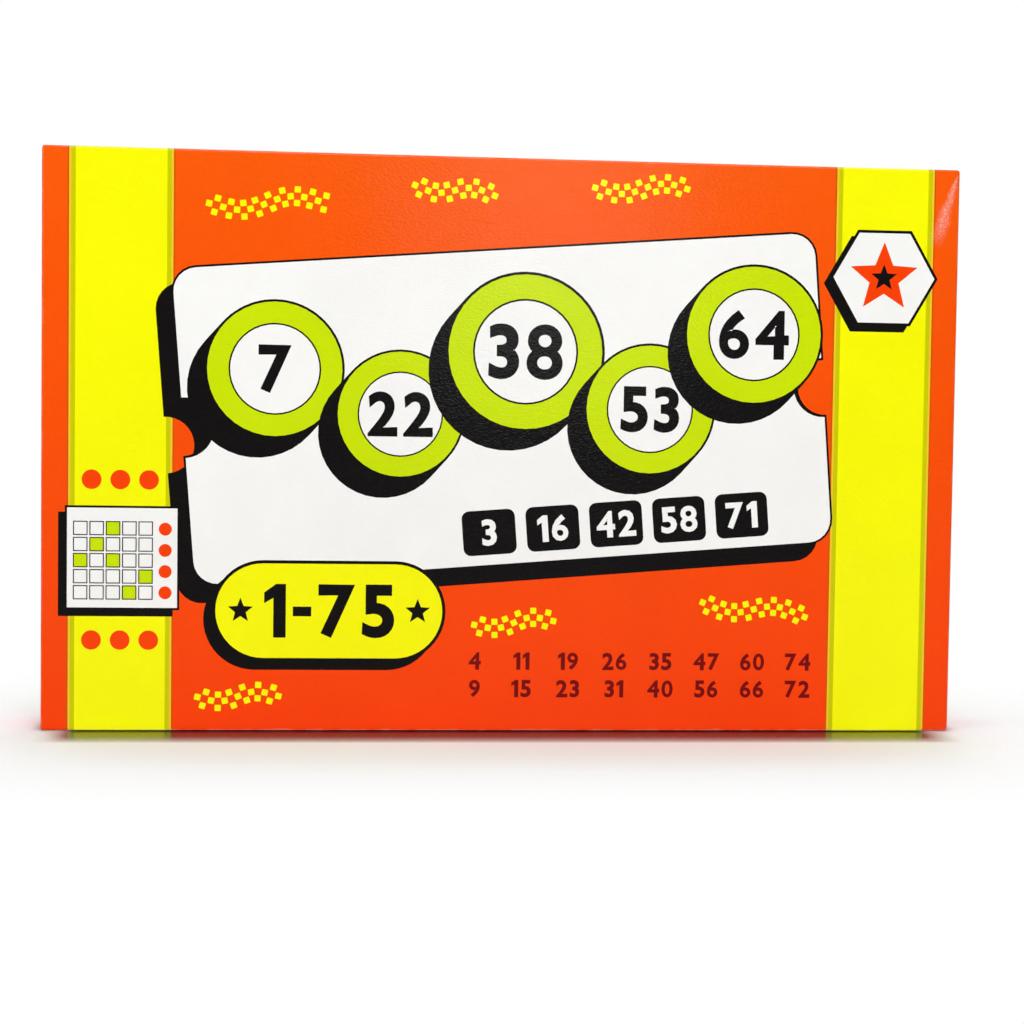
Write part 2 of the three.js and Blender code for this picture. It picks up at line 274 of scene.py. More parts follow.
class Finish(Nodes):
    """A procedural material round one main shader, patterned in the space of its object."""

    def __init__(self, name, constants):
        self.material = bpy.data.materials.new(name)
        self.material.use_nodes = True
        super().__init__(self.material.node_tree)
        self.shader = self.node("BsdfPrincipled", inputs=constants)

    def feed(self, socket, value):
        """Joins a value to a socket of the main shader."""
        self.links.new(value.socket, self.shader.socket.node.inputs[socket])

    def done(self, surface):
        """Shows the surface and gives the material."""
        self.node("OutputMaterial", inputs={"Surface": surface})
        return self.material

    def painted(self, tone, roughness, relief):
        """Gives the main shader its colour, roughness and relief in millimetres."""
        self.feed("Base Color", tone)
        self.feed("Roughness", roughness)
        self.feed("Normal", self.node("Bump", inputs={"Height": relief, "Distance": MM}))
        return self.done(self.shader)

    def axes(self):
        """The x, y and z of the surface, in millimetres."""
        where = self.node("TexCoord", output="Object")
        split = self.node("SeparateXYZ", inputs={"Vector": where}).socket.node
        return [Value(self, socket) * 1000 for socket in split.outputs]

    def grains(self, size, stretch):
        """Inputs of a pattern whose grains are size millimetres across."""
        where = self.node("TexCoord", output="Object")
        place = self.node("Mapping", inputs={"Vector": where, "Scale": stretch})
        return {"Vector": place, "Scale": 1 / (size * MM)}

    def noise(self, size, detail=2, stretch=(1, 1, 1)):
        return self.node("TexNoise", inputs={**self.grains(size, stretch), "Detail": detail})

    def cells(self, size, stretch):
        settings = {"feature": "SMOOTH_F1"}
        return self.node("TexVoronoi", settings, self.grains(size, stretch), "Distance")

    def blend(self, first, second, factor):
        first, second = [c if isinstance(c, Value) else (*c, 1) for c in (first, second)]
        return self.node("Mix", {"data_type": "RGBA"}, {0: factor, 6: first, 7: second}, 2)

    def ink(self):
        """The printed colour that the piece's corners carry."""
        return self.node("Attribute", {"attribute_name": "ink"}, output="Color")


def middle_of(first, second, third):
    """The middle one of three values."""
    low, high = first.smaller(second), first.larger(second)
    return low.larger(high.smaller(third))


def worn_edges(finish, low, high, reach):
    """1 on the edges of the box between two corners in millimetres, patchy, and 0 further in."""
    ends = [(far - near) / 2 - abs(axis - (near + far) / 2)
            for axis, near, far in zip(finish.axes(), low, high)]
    patchy = finish.noise(9, 4)
    return finish.step(middle_of(*ends) - patchy * reach, 0.25, -reach * 0.35)


def crease(finish, start, end, width, front):
    """1 along a soft line on the front face, from an (x, z) place in millimetres to a wider end,
    where the film has a crease and a painted highlight.
    """
    x, y, z = finish.axes()
    run = Vector(end) - Vector(start)
    way = run.normalized()
    along = (x - start[0]) * way.x + (z - start[1]) * way.y
    across = (x - start[0]) * -way.y + (z - start[1]) * way.x + (finish.noise(9) - 0.5) * width
    spread = finish.step(along, 0, run.length) * 0.75 + 0.25
    length = finish.step(along, 0, 4) * finish.step(along, run.length, run.length * 0.6)
    line = finish.step(abs(across) / spread, width, 0)
    return line * length * finish.step(y, front + 1, front + 0.3)


def corner_seams(finish, low, high):
    """1 on the end walls where the long sides' paper ends under the end paper, at each corner."""
    x, _, z = finish.axes()
    beside = abs(abs(z - (low.z + high.z) / 2) - ((high.z - low.z) / 2 - 2.2))
    on_end = finish.step(abs(x), high.x - 0.4, high.x - 0.1)
    return finish.step(beside + finish.noise(6) * 0.3, 0.42, 0.2) * on_end


def laminated_finish(name, node, crease_highlight_line=None):
    """Litho print under a glossy embossed film, scuffed pale where the box is handled, with a
    painted highlight along a crease where it is bent.
    """
    finish = Finish(name, {"Specular IOR Level": 0.22, "IOR": 1.48})
    low, high = extent(node)
    mottle, speck = finish.noise(38, 3), finish.noise(0.9, 1)
    shade = (mottle - 0.5) * 0.09 + (speck - 0.5) * 0.03 + 0.02
    scuff = worn_edges(finish, low, high, 1.5)
    seam = corner_seams(finish, low, high)
    # The crease mask dents the film and lays a painted highlight along the crease
    crease_and_highlight = crease(finish, *crease_highlight_line, low.y) if crease_highlight_line else 0
    # Pale: real edge wear and paper seams, and a painted highlight along the crease
    pale = scuff * 0.14 + seam * 0.3 + crease_and_highlight * (finish.step(speck, 0.4, 0.7) * 0.35 + 0.12)
    inked = finish.blend(finish.ink(), (0, 0, 0), shade)
    rub = finish.noise(22, 4, (1, 1, 2.5))
    film = finish.cells(0.8, (0.6, 1, 1.3)) * (crease_and_highlight * 0.12 + 0.08)
    ripple, wave = finish.noise(2.6, 2, (0.45, 1, 1)), finish.noise(70, 1)
    return finish.painted(
        finish.blend(inked, (0.9, 0.86, 0.8), pale),
        finish.step(rub, 0.3, 0.8) * 0.08 + 0.13 + scuff * 0.3,
        film + ripple * 0.05 + wave * 0.5 - seam * 0.12 + crease_and_highlight * 0.1)


def matt_print_finish(name, roughness):
    """Ink on uncoated card: slightly uneven, with the card's grain in it."""
    finish = Finish(name, {"Specular IOR Level": 0.35})
    grain, patch = finish.noise(0.5, 3), finish.noise(25)
    tone = finish.blend(finish.ink(), (0.55, 0.5, 0.42), grain * 0.05 + patch * 0.05)
    return finish.painted(tone, grain * 0.15 + roughness, grain * 0.02)


def fibre_finish(name, pale, dark, roughness, relief, fleck):
    """Pulp board or paper: fibres that lie all ways, and darker flecks."""
    finish = Finish(name, {"Specular IOR Level": 0.2})
    along = finish.noise(1.2, 4, (0.25, 1, 1.4))
    across = finish.noise(1.2, 4, (1.4, 1, 0.25))
    cloud = finish.noise(18, 3)
    fibres = along.larger(across)
    tone = finish.blend(
        colour(*pale), colour(*dark), finish.step(fibres * 0.7 + cloud * 0.4, 0.45, 0.85))
    flecks = finish.step(finish.noise(1.6, 1), 0.72, 0.78)
    tone = finish.blend(tone, (0.12, 0.1, 0.08), flecks * fleck)
    return finish.painted(tone, cloud * 0.08 + roughness, fibres * relief)


def moulded_finish(name, tone, painted_sheen_tone, grain, gloss, specular=0.5, clear=0, bend=1.5):
    """Injection-moulded plastic: fine spark grain, faint flow marks and rubbed patches, these
    painted lighter as a sheen.
    """
    finish = Finish(name, {
        "Specular IOR Level": specular, "Transmission Weight": clear, "IOR": bend})
    flow = finish.noise(14, 2, (1, 1, 0.4))
    rubbed = finish.step(finish.noise(6, 4), 0.5, 0.75)
    # The second tone, laid in flow marks and rubbed patches, is a painted sheen
    return finish.painted(
        finish.blend(colour(*tone), colour(*painted_sheen_tone), flow * 0.35 + rubbed * 0.12),
        rubbed * 0.12 + flow * 0.06 + gloss, finish.noise(0.28) * grain + flow * 0.05)


# Loops of points that inks fill

def turned(points, x, y, tilt=0.0):
    """Points turned about the origin and then moved to x, y."""
    c, s = math.cos(tilt), math.sin(tilt)
    return [Vector((x + c * p[0] - s * p[1], y + s * p[0] + c * p[1])) for p in points]


def anticlockwise(loop):
    area = sum(a[0] * b[1] - b[0] * a[1] for a, b in zip(loop, loop[1:] + loop[:1]))
    return loop if area > 0 else loop[::-1]


def rectangle(x0, y0, x1, y1):
    return [Vector(p) for p in ((x0, y0), (x1, y0), (x1, y1), (x0, y1))]


def oblong(x, y, width, height):
    return rectangle(x - width / 2, y - height / 2, x + width / 2, y + height / 2)


def arc(x, y, radius, start, span, steps):
    angles = [start + span * i / steps for i in range(steps + 1)]
    return [(x + radius * math.cos(a), y + radius * math.sin(a)) for a in angles]


def rounded(x, y, width, height, radius, tilt=0.0, steps=6):
    across, up = width / 2 - radius, height / 2 - radius
    points = []
    for quarter, (sx, sy) in enumerate(((1, 1), (-1, 1), (-1, -1), (1, -1))):
        points += arc(sx * across, sy * up, radius, quarter * QUARTER, QUARTER, steps)
    return turned(points, x, y, tilt)


def ticket(x, y, width, height, radius, bite, tilt):
    """A rounded rectangle with a round bite out of each end."""
    across, up = width / 2 - radius, height / 2 - radius
    points = []
    for side, turn in ((1, 0), (-1, math.pi)):
        points += arc(side * width / 2, 0, bite, turn + 3 * QUARTER, -math.pi, 16)
        for sx, start in ((side, turn), (-side, turn + QUARTER)):
            points += arc(sx * across, side * up, radius, start, QUARTER, 6)
    return turned(points, x, y, tilt)


def disc(x, y, radius, sides):
    return [Vector(p) for p in arc(x, y, radius, 0, 2 * math.pi, sides)[:-1]]


def cast(x, y, radius, dx, dy):
    """Outline of a disc drawn along dx, dy."""
    heading = math.atan2(dy, dx)
    near = arc(x, y, radius, heading + QUARTER, math.pi, 20)
    far = arc(x + dx, y + dy, radius, heading - QUARTER, math.pi, 20)
    return [Vector(p) for p in near + far]


def star(x, y, outer, inner):
    """A star with five points, one of them up."""
    rays = []
    for i in range(10):
        radius, angle = inner if i % 2 else outer, QUARTER + i * math.pi / 5
        rays.append((radius * math.cos(angle), radius * math.sin(angle)))
    return turned(rays, x, y)


def mesh_loops(mesh):
    """The closed loops of a mesh of edges."""
    beside = defaultdict(list)
    for edge in mesh.edges:
        first, second = edge.vertices
        beside[first].append(second)
        beside[second].append(first)
    waiting, loops = dict.fromkeys(beside), []
    while waiting:
        start = next(iter(waiting))
        loop, before, here = [], None, start
        while not loop or here != start:
            loop.append(mesh.vertices[here].co.xy)
            waiting.pop(here, None)
            ahead = [n for n in beside[here] if n != before]
            before, here = here, ahead[0]
        loops.append(anticlockwise(loop))
    return loops


def bolder(loop, amount):
    """Moves a loop outwards, so that a figure drawn with it gets heavier."""
    moved, sharpest = [], 0.62
    for before, here, after in zip(loop[-1:] + loop[:-1], loop, loop[1:] + loop[:1]):
        sides = [(here - before).normalized(), (after - here).normalized()]
        outward = [Vector((side.y, -side.x)) for side in sides]
        way = (outward[0] + outward[1]).normalized()
        moved.append(here + way * amount / max(way.dot(outward[0]), sharpest))
    return moved


class Figures:
    """Outlines of the ten digits and a dash, one high, in a heavy plain weight."""

    weight = 0.035
    gap = 0.13

    def __init__(self, fineness):
        flagged = [(0.17, 0), (0.4, 0), (0.4, 1), (0.22, 1), (0, 0.84), (0, 0.64), (0.17, 0.74)]
        self.shapes = {"-": [rectangle(0, 0.4, 0.34, 0.58)], "1": [[Vector(p) for p in flagged]]}
        for digit in "023456789":
            self.shapes[digit] = self.outline(digit, fineness)

    def outline(self, digit, fineness):
        curve = bpy.data.curves.new("figure", "FONT")
        curve.body, curve.resolution_u, curve.fill_mode = digit, fineness, "NONE"
        drawn = shown("figure", curve)
        mesh = evaluated(drawn)
        loops = sorted(mesh_loops(mesh), key=len, reverse=True)
        loops.sort(key=lambda loop: min(p.x for p in loop))
        loops = [bolder(loop, -self.weight * 0.5 if i else self.weight)
                 for i, loop in enumerate(loops)]
        left, low = min(p.x for p in loops[0]), min(p.y for p in loops[0])
        tall = max(p.y for p in loops[0]) - low
        bpy.data.objects.remove(drawn)
        bpy.data.curves.remove(curve)
        bpy.data.meshes.remove(mesh)
        return [[Vector(((p.x - left) / tall, (p.y - low) / tall)) for p in loop] for loop in loops]

    def write(self, text, x, y, height, tilt=0.0):
        """Loops of a number, centred on x, y."""
        loops, pen = [], 0.0
        for digit in text:
            shape = self.shapes[digit]
            loops += [[Vector((p.x + pen, p.y - 0.5)) for p in loop] for loop in shape]
            pen += max(p.x for p in shape[0]) + self.gap
        half = (pen - self.gap) / 2
        return [turned([((p.x - half) * height, p.y * height) for p in loop], x, y, tilt)
                for loop in loops]


def within(loop, spots):
    """Which of the spots lie inside the loop."""
    corners = np.array([tuple(p) for p in loop])
    near = ((spots >= corners.min(0)) & (spots <= corners.max(0))).all(axis=1)
    x, y = spots[near].T[:, :, None]
    (x0, y0), (x1, y1) = corners.T, np.roll(corners, -1, axis=0).T
    height = np.where(y1 == y0, 1, y1 - y0)
    crossed = ((y0 > y) != (y1 > y)) & (x < x0 + (y - y0) * (x1 - x0) / height)
    inside = np.zeros(len(spots), bool)
    inside[near] = crossed.sum(axis=1) % 2 == 1
    return inside


def fade(low, high, bottom, top):
    """A colour that changes evenly from one at the bottom to another at the top."""
    def at(height):
        share = min(max((height - bottom) / (top - bottom), 0), 1)
        return tuple(a + (b - a) * share for a, b in zip(low, high))
    return at


class Print:
    """Inks on a flat sheet in millimetres, each laid over the ones before."""

    same_point = 1e-3  # Points nearer to each other than this are one

    def __init__(self, ground, outline):
        self.ground = ground
        self.layers = [(ground, [anticlockwise(outline)])]

    def ink(self, tone, *loops):
        """Lays one ink inside an odd number of the loops."""
        self.layers.append((tone, [anticlockwise(list(loop)) for loop in loops]))

    def discs(self, x, y, *discs):
        """Inks discs on one centre, each with its radius, ink and number of sides."""
        for radius, tone, sides in discs:
            self.ink(tone, disc(x, y, radius, sides))

    def framed(self, x, y, width, height, line, edge, tone):
        """Inks a box with a line round it."""
        self.ink(edge, oblong(x, y, width, height))
        self.ink(tone, oblong(x, y, width - 2 * line, height - 2 * line))

    def pressed(self, folds=()):
        """The sheet as triangles of three flat points, each with its ink."""
        points, edges = [], []
        for _, loops in self.layers:
            for loop in loops:
                first, count = len(points), len(loop)
                points += [Vector(p) for p in loop]
                edges += [(first + i, first + (i + 1) % count) for i in range(count)]
        for start, end in folds:
            edges.append((len(points), len(points) + 1))
            points += [Vector(start), Vector(end)]
        places, _, triangles, *_ = delaunay_2d_cdt(
            points, edges, [], 0, self.same_point, False)
        centres = np.array([place[:] for place in places])[np.array(triangles)].mean(axis=1)
        top = np.full(len(triangles), -1)
        for layer, (_, loops) in enumerate(self.layers):
            inside = np.logical_xor.reduce([within(loop, centres) for loop in loops])
            top[inside & ((top >= 0) | (layer == 0))] = layer
        return [(anticlockwise([places[i] for i in triangle]), self.layers[layer][0])
                for triangle, layer in zip(triangles, top) if layer >= 0]


# Meshes

def dress(mesh, material):
    mesh.materials.clear()
    mesh.materials.append(material)


def shown(name, data):
    """A new object in the scene, for a mesh, a curve, a lamp or the camera."""
    made = bpy.data.objects.new(name, data)
    bpy.context.scene.collection.objects.link(made)
    return made


def evaluated(piece):
    """A plain mesh of the piece with its modifiers applied."""
    bpy.context.view_layer.update()
    graph = bpy.context.evaluated_depsgraph_get()
    return bpy.data.meshes.new_from_object(piece.evaluated_get(graph))


def settle(piece):
    """Applies the piece's modifiers to its mesh."""
    mesh = evaluated(piece)
    piece.modifiers.clear()
    piece.data = mesh


def poured(name, body):
    """A mesh of the bmesh's faces, turned outwards."""
    bmesh.ops.recalc_face_normals(body, faces=body.faces)
    mesh = bpy.data.meshes.new(name)
    body.to_mesh(mesh)
    body.free()
    return mesh


def smooth(mesh, angle):
    """Shades the mesh smooth, apart from edges sharper than the angle in degrees."""
    mesh.polygons.foreach_set("use_smooth", [True] * len(mesh.polygons))
    mesh.set_sharp_from_angle(angle=math.radians(angle))


def upright(flat, depth):
    """A flat point or way on the front of the box, as one in space."""
    return Vector((flat[0], depth, flat[1]))


def leaf(name, faces, layers, back, material):
    """A closed leaf of paper or board, from triangles of (point, facing) corners and their inks.

    Its edge shows the layers, each a depth below the front and its colour.
    """
    points, facing, index, front = [], [], {}, []
    for corners, tone in faces:
        ids = []
        for point, normal in corners:
            key = tuple(round(part, 4) for part in point)
            if key not in index:
                index[key] = len(points)
                points.append(point)
                facing.append(normal)
            ids.append(index[key])
        if len(set(ids)) == 3:
            front.append((ids, [normal for _, normal in corners], tone))
    count, thickness = len(points), layers[-1][0]
    points += [point - normal * thickness for point, normal in zip(points, facing)]
    polygons, inks, normals, rim = [], [], [], {}
    for ids, ways, tone in front:
        polygons += [ids, [i + count for i in reversed(ids)]]
        inks += [tone, back]
        normals += ways + [-way for way in reversed(ways)]
        rim.update(dict.fromkeys(zip(ids, ids[1:] + ids[:1])))
    open_edges = [(a, b) for a, b in rim if (b, a) not in rim]
    outline = [first for first, _ in open_edges]
    rings = [{i: i for i in outline}]
    for depth, _ in layers[:-1]:
        rings.append({i: len(points) + n for n, i in enumerate(outline)})
        points += [points[i] - facing[i] * depth for i in outline]
    rings.append({i: i + count for i in outline})
    for first, second in open_edges:
        across = (points[first] - points[second]).cross(points[first + count] - points[first])
        for upper, lower, (_, tone) in zip(rings, rings[1:], layers):
            polygons.append([upper[second], upper[first], lower[first], lower[second]])
            inks.append(tone)
            normals += [across.normalized()] * 4
    mesh = bpy.data.meshes.new(name)
    mesh.from_pydata([point * MM for point in points], [], polygons)
    layer = mesh.attributes.new("ink", "FLOAT_COLOR", "CORNER")
    shades = [tone(points[i].z) if callable(tone) else tuple(tone)
              for polygon, tone in zip(polygons, inks) for i in polygon]
    layer.data.foreach_set("color", [part for shade in shades for part in (*shade, 1)])
    mesh.polygons.foreach_set("use_smooth", [True] * len(polygons))
    mesh.normals_split_custom_set(normals)
    dress(mesh, material)
    return shown(name, mesh)


def flat_leaf(name, sheet, node, layers, back, material, shift=0):
    """A printed leaf whose front lies on the front of a CAD node, shifted along x."""
    low, high = extent(node)
    centre = (low + high) / 2
    faces = [([(Vector((centre.x + shift + p[0], low.y, centre.z + p[1])), AHEAD) for p in corners],
              tone) for corners, tone in sheet.pressed()]
    return leaf(name, faces, layers, back, material)


class FoldedPan:
    """Where a point of a flat wrap lies once it is folded round a pan, and which way it faces."""

    steps = 4
    inner_corner = 0.2

    def __init__(self, low, high, box):
        length, self.depth, height = high - low
        self.half = Vector((length / 2, height / 2))
        self.radius, wall = mm(box.edge_radius), mm(box.wall_build)
        self.flat = self.half - Vector((self.radius, self.radius))
        bend, side = self.radius * QUARTER, self.depth - 2 * self.radius
        self.stretches = (
            (bend, True), (side, False), (bend, True), (wall - 2 * self.radius, False),
            (bend, True), (mm(box.turn_in) - self.radius, False))
        self.reach = sum(span for span, _ in self.stretches)
        self.wall_middle, self.rim = bend + side / 2, 2 * bend + side

    def section(self, run):
        """Inset, depth and facing at a distance from the face's flat part, along the paper."""
        inset, depth, angle = self.radius, 0.0, 0.0
        for span, bends in self.stretches:
            part = min(run, span)
            run -= part
            if bends:
                ahead = angle + part / self.radius
                inset += self.radius * (math.sin(angle) - math.sin(ahead))
                depth += self.radius * (math.cos(angle) - math.cos(ahead))
                angle = ahead
            else:
                inset -= part * math.cos(angle)
                depth += part * math.sin(angle)
        return inset, depth, angle

    def corner(self, run, inset):
        """Radius of the pan's corner at that place."""
        return self.inner_corner if run > self.rim + 1e-3 else max(self.radius - inset, 0)

    def stations(self):
        """Distances at which the paper bends."""
        found, start = [0.0], 0.0
        for span, bends in self.stretches:
            parts = self.steps if bends else 1
            found += [start + span * (i + 1) / parts for i in range(parts)]
            start += span
        return found

    def outline(self):
        """The flat wrap: the face with a strip folded up from each side."""
        a, b = self.flat
        e, f = a + self.reach, b + self.reach
        return [(-a, -f), (a, -f), (a, -b), (e, -b), (e, b), (a, b),
                (a, f), (-a, f), (-a, b), (-e, b), (-e, -b), (-a, -b)]

    def folds(self):
        """The lines on the flat wrap along which it bends."""
        lines = []
        for run in self.stations():
            for side in (1, -1):
                a, b = self.flat.x + run, self.flat.y + run
                lines.append(((side * a, -self.flat.y), (side * a, self.flat.y)))
                lines.append(((-self.flat.x, side * b), (self.flat.x, side * b)))
        return lines

    def place(self, point, middle):
        """Point and facing of the flat point, which belongs to the panel that middle lies on."""
        beyond = [abs(middle[i]) - self.flat[i] for i in (0, 1)]
        if max(beyond) <= 0:
            return upright(point, 0), AHEAD
        axis = 0 if beyond[0] > beyond[1] else 1
        other, side = 1 - axis, 1 if middle[axis] > 0 else -1
        run = max(abs(point[axis]) - self.flat[axis], 0)
        inset, depth, angle = self.section(run)
        along = self.half[other] - inset - self.corner(run, inset)
        place, out = [0, 0], [0, 0]
        place[axis] = side * (self.half[axis] - inset)
        place[other] = point[other] * along / self.flat[other]
        out[axis] = side * math.sin(angle)
        return upright(place, depth), upright(out, -math.cos(angle))

    def corners(self, tone):
        """Triangles of the paper round the four corners."""
        faces, rings = [], []
        for run in self.stations():
            inset, depth, angle = self.section(run)
            radius = self.corner(run, inset)
            centre = self.half - Vector((inset + radius, inset + radius))
            ring = []
            for i in range(self.steps + 1):
                turn = i * QUARTER / self.steps
                way = Vector((math.cos(turn), math.sin(turn)))
                ring.append((upright(centre + way * radius, depth),
                             upright(way * math.sin(angle), -math.cos(angle))))
            rings.append(ring)
        for sx, sz in ((1, 1), (-1, 1), (-1, -1), (1, -1)):
            mirror = Matrix.Diagonal((sx, 1, sz))
            for low, high in zip(rings, rings[1:]):
                for i in range(self.steps):
                    quad = [(mirror @ p, mirror @ n)
                            for p, n in (low[i], high[i], high[i + 1], low[i + 1])]
                    if sx * sz < 0:
                        quad.reverse()
                    faces += [(quad[:3], tone), ([quad[0], *quad[2:]], tone)]
        return faces

    def folded(self, sheet, origin, half_turn):
        """Every triangle of the wrap in the box's frame, in millimetres."""
        faces = self.corners(sheet.ground)
        for corners, tone in sheet.pressed(self.folds()):
            middle = sum(corners, Vector((0, 0))) / 3
            faces.append(([self.place(p, middle) for p in corners], tone))
        turn = Matrix.Rotation(math.pi if half_turn else 0, 3, "Z")
        return [([(turn @ p + origin, turn @ n) for p, n in corners], tone)
                for corners, tone in faces]


def wrap(context, name, body, node, print_maker, half_turn, slot, crease_highlight_line=None):
    """The folded and printed paper of a pan, in place of its CAD node."""
    settings = context.scene.bingo
    material = laminated_finish(slot, node, crease_highlight_line)
    low, high = extent(node)
    pan = FoldedPan(low, high, settings.box)
    origin = Vector((0, high.y if half_turn else low.y, (low.z + high.z) / 2))
    faces = pan.folded(print_maker(settings, pan), origin, half_turn)
    plain = tuple(settings.inks.white)
    piece = leaf(name, faces, [(mm(settings.box.paper), plain)], plain, material)
    stand_for(piece, body, node)


# The lid's and the base's prints

def ball(sheet, inks, figures, x, y, radius, number):
    """A lime game ball with its number on a white disc, and a black cast shadow."""
    line, inner = radius * 0.035, radius * 0.66
    sheet.ink(inks.black, cast(x, y, radius + line, -8, -9))
    sheet.discs(x, y, (radius + line, inks.black, 40), (radius, inks.lime, 40),
                (inner + line * 0.7, inks.black, 40), (inner, inks.white, 40))
    sheet.ink(inks.black, *figures.write(number, x, y, radius * 0.72))


def ribbon(sheet, tone, x, y, length, tilt):
    """A wavy band of chequered squares."""
    side, rows, rise, waves = 3.1, 3, 0.35, 2.5 * math.pi
    squares = []
    for i in range(round(length / side)):
        along = (i + 0.5) * side - length / 2
        turn = waves * along / length
        slope = rise * math.cos(turn)
        lift = rise * length / waves * math.sin(turn)
        for row in range(rows):
            if (i + row) % 2:
                across = (row - (rows - 1) / 2) * side
                spot = turned([(along - across * slope, lift + across)], x, y, tilt)[0]
                squares.append(rounded(*spot, side * 0.94, side * 0.94, 0.3, tilt + slope, 1))
    sheet.ink(tone, *squares)


def lid_print(settings, pan):
    """The lid's artwork: stripes, ribbons, a ticket-shaped banner of balls, pill, badge and panel.

    Places are in millimetres from the middle of the lid's face.
    """
    inks, box = settings.inks, settings.box
    large, small = Figures(6), Figures(3)
    low, high = extent("lid_wrap")
    # The orange ground is lighter towards the top of the lid
    sheet = Print(fade(inks.orange, inks.orange_top, low.z, high.z), pan.outline())
    width, reach = mm(box.stripe_width), 2 * (pan.flat.y + pan.reach)
    middle = pan.half.x - mm(box.stripe_start) - width / 2
    for x in (-middle, middle):
        for inset, tone in (
                (-0.7, inks.brown), (0, inks.amber), (0.9, inks.olive), (2.9, inks.yellow)):
            sheet.ink(tone, oblong(x, 0, width - 2 * inset, reach))
    for x, y, length, tilt in ((-112, 110, 56, 0.08), (-26, 118, 40, -0.06), (62, 121, 48, 0.05),
                               (4, -83, 40, 0.1), (118, -76, 52, -0.08), (-124, -118, 40, 0.06)):
        ribbon(sheet, inks.yellow, x, y, length, tilt)

    tilt, long, tall = box.banner_tilt, mm(box.banner_length), mm(box.banner_height)
    for x, y in ((-7, 10), (0, 18)):
        sheet.ink(inks.black, ticket(x, y, long + 2, tall + 2, 12, 13, tilt))
    sheet.ink(inks.white, ticket(0, 18, long, tall, 11, 14, tilt))
    for x, y, radius, number in ((-108, 34, 31, "7"), (-50, 14, 29, "22"), (8, 44, 36, "38"),
                                 (67, 18, 30, "53"), (116, 54, 32, "64")):
        ball(sheet, inks, large, x, y, radius, number)
    for i, number in enumerate(("3", "16", "42", "58", "71")):
        along = -8 + 30 * i
        x, y = along * math.cos(tilt), -40 + along * math.sin(tilt)
        sheet.ink(inks.black, rounded(x, y, 25, 21, 3.5, tilt, 4))
        sheet.ink(inks.white, *small.write(number, x, y, 12.5, tilt))

    for x, y in ((-86, -82), (-82, -78)):
        sheet.ink(inks.black, rounded(x, y, 108, 47, 23.5, 0, 12))
    sheet.ink(inks.yellow, rounded(-82, -78, 105, 44, 22, 0, 12))
    sheet.ink(inks.black, *large.write("1-75", -82, -78, 25))
    for x in (-123, -41):
        sheet.ink(inks.black, star(x, -78, 6, 2.6))

    sheet.discs(middle - 3, 79, (26, inks.black, 6))
    sheet.discs(middle, 82, (26, inks.black, 6), (24.44, inks.white, 6))
    sheet.ink(inks.orange, star(middle, 82, 17, 7.4))
    sheet.ink(inks.black, star(middle, 82, 6.5, 2.8))

    for y in (-18, -92):
        for i in (-1, 0, 1):
            sheet.discs(-middle + 13 * i, y, (4.5, inks.orange, 28))
    sheet.ink(inks.black, oblong(-middle - 2, -57, 52, 48))
    sheet.framed(-middle + 1, -54, 52, 48, 1, inks.black, inks.white)
    for row in range(GRID):
        for column in range(GRID):
            marked = (row * 3 + column * 2) % 5 == 1 or row == column == 2
            sheet.framed(-middle - 18 + 7.4 * column, -70 + 7.4 * row, 6.6, 6.6, 0.5,
                         inks.black, inks.lime if marked else inks.white)
    for i in range(4):
        sheet.discs(-middle + 20.5, -70 + 9.8 * i, (3, inks.orange, 20))
    for y, numbers in ((-101, "4 11 19 26 35 47 60 74"), (-114, "9 15 23 31 40 56 66 72")):
        for i, number in enumerate(numbers.split()):
            sheet.ink(inks.dark_red, *small.write(number, -14 + 22 * i, y, 8.2))
    wall_print(sheet, inks, small, pan)
    return sheet


def wall_print(sheet, inks, figures, pan):
    """Numbered discs along the four walls of the lid."""
    for side in (1, -1):
        for on_end, pitch, numbers in (
                (False, 28, "2 13 29 34 45 51 68 75"), (True, 30, "6 18 33 49 62")):
            numbers = numbers.split()
            for i, number in enumerate(numbers):
                along = side * pitch * (i - (len(numbers) - 1) / 2)
                if on_end:
                    x, y, tilt = side * (pan.flat.x + pan.wall_middle), along, side * QUARTER
                else:
                    x, y, tilt = along, side * (pan.flat.y + pan.wall_middle), (1 + side) * QUARTER
                sheet.discs(
                    x, y, (12, inks.black, 32), (11.3, inks.lime, 32), (7.6, inks.white, 28))
                sheet.ink(inks.black, *figures.write(number, x, y, 8.4, tilt))


def base_print(settings, pan):
    return Print(tuple(settings.inks.yellow), pan.outline())


class WrapLid(bpy.types.Operator):
    """Prints the lid's paper and folds it over the board and in over the rim"""

    bl_idname = "bingo.wrap_lid"
    bl_label = "Wrap lid"

    def execute(self, context):
        high = extent("lid_wrap")[1]
        # Start, end and width of the crease, with its painted highlight, near the top right corner
        crease_highlight_line = ((high.x - 1.5, high.z - 2), (high.x - 12, high.z - 38), 6)
        wrap(context, "lid_print", "lid", "lid_wrap", lid_print, False, "printed_wrap", crease_highlight_line)
        return {"FINISHED"}


class WrapBase(bpy.types.Operator):
    """Folds the base's yellow paper over its boards"""

    bl_idname = "bingo.wrap_base"
    bl_label = "Wrap base"

    def execute(self, context):
        wrap(context, "base_paper", "base", "base_wrap", base_print, True, "base_wrap_paper")
        return {"FINISHED"}


class FinishBoards(bpy.types.Operator):
    """Gives the greyboards and corner tapes their fibres"""

    bl_idname = "bingo.finish_boards"
    bl_label = "Finish boards and tapes"

    def execute(self, context):
        grey = fibre_finish("greyboard", (186, 177, 160), (158, 148, 131), 0.85, 0.05, 0.5)
        kraft = fibre_finish("stay_tape", (206, 170, 122), (170, 132, 88), 0.7, 0.03, 0.2)
        for name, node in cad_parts.items():
            if "stay" in name:
                dress(node.data, kraft)
            elif "board" in name and "sheet" not in name:
                dress(node.data, grey)
        return {"FINISHED"}


# Tally board and cards

def head_tones(inks):
    return inks.dark_red, inks.orange, inks.lime, inks.green, inks.blue


